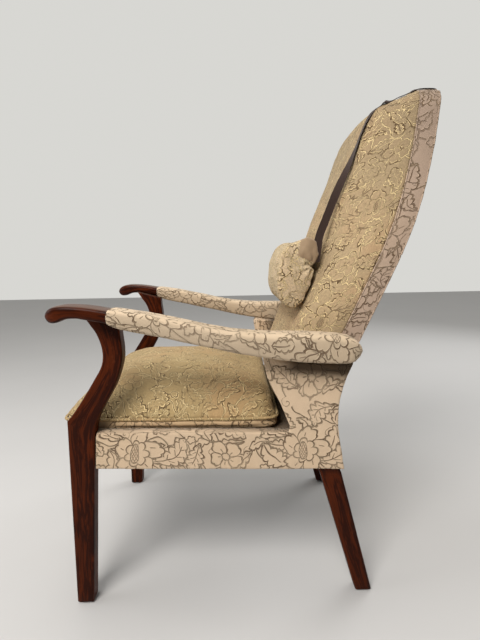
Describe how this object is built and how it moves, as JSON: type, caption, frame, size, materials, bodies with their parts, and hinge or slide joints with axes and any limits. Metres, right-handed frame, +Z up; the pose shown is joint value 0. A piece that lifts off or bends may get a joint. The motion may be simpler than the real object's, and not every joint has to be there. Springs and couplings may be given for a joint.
{
  "type": "fireside chair",
  "caption": "Upholstered fireside chair with open scrolled wooden arms, padded arm sleeves, high raked domed back, loose domed seat cushion and a strapped back pillow.",
  "frame": {"origin": "on the floor under the middle of the whole chair's box", "axes": "+Z up, -Y the way the chair faces, +X the sitter's left"},
  "size_m": [0.66, 0.8324, 1.086],
  "materials": {
    "mahogany_stained_wood": "satin varnish",
    "beech_frame": "raw sawn",
    "cut_velvet": "cut velvet with raised traditional floral outline",
    "strap_webbing": "flat dark brown webbing",
    "steel_fixings": "zinc plated",
    "covered_springs": "close wound coils",
    "platform_canvas": "plain woven canvas",
    "lining_hessian": "open woven hessian",
    "dust_cambric": "black cambric",
    "glide_plastic": "moulded"
  },
  "bodies": {
    "chair_frame": {"arm_dowels": "beech_frame", "arm_left": "mahogany_stained_wood", "arm_pad_left": "cut_velvet", "arm_pad_right": "cut_velvet", "arm_right": "mahogany_stained_wood", "arm_screws": "steel_fixings", "back_bolts": "steel_fixings", "back_border": "cut_velvet", "back_lining": "lining_hessian", "back_lower_rail": "beech_frame", "back_lumbar_rail": "beech_frame", "back_post_left": "beech_frame", "back_post_right": "beech_frame", "back_rail": "beech_frame", "back_springs": "covered_springs", "back_top_rail": "beech_frame", "block_screws": "steel_fixings", "bolt_washers": "steel_fixings", "corner_blocks": "beech_frame", "dust_cover": "dust_cambric", "foot_glides": "glide_plastic", "front_leg_left": "mahogany_stained_wood", "front_leg_right": "mahogany_stained_wood", "front_rail": "beech_frame", "front_rail_cover": "cut_velvet", "inside_back_pad": "cut_velvet", "outside_back": "cut_velvet", "platform_cloth": "platform_canvas", "rail_dowels": "beech_frame", "rear_leg_left": "mahogany_stained_wood", "rear_leg_right": "mahogany_stained_wood", "seat_springs": "covered_springs", "side_board_left": "beech_frame", "side_board_right": "beech_frame", "side_cover_left": "cut_velvet", "side_cover_right": "cut_velvet", "side_pad_left": "cut_velvet", "side_pad_right": "cut_velvet", "side_rail_left": "beech_frame", "side_rail_right": "beech_frame", "spring_plate_left": "steel_fixings", "spring_plate_right": "steel_fixings"},
    "cushion_body": {"seat_cushion": "cut_velvet"},
    "pillow_body": {"pillow": "cut_velvet", "pillow_strap_left": "strap_webbing", "pillow_strap_right": "strap_webbing", "strap_weight": "cut_velvet"}
  },
  "joints": [
    {"name": "seat_cushion_lift", "type": "slide", "parent": "chair_frame", "child": "cushion_body", "axis": [0, -0.5, 0.866], "range_m": [0, 0.18]},
    {"name": "pillow_lift", "type": "slide", "parent": "chair_frame", "child": "pillow_body", "axis": [0, 0.3387, 0.9409], "range_m": [0, 0.15]}
  ]
}
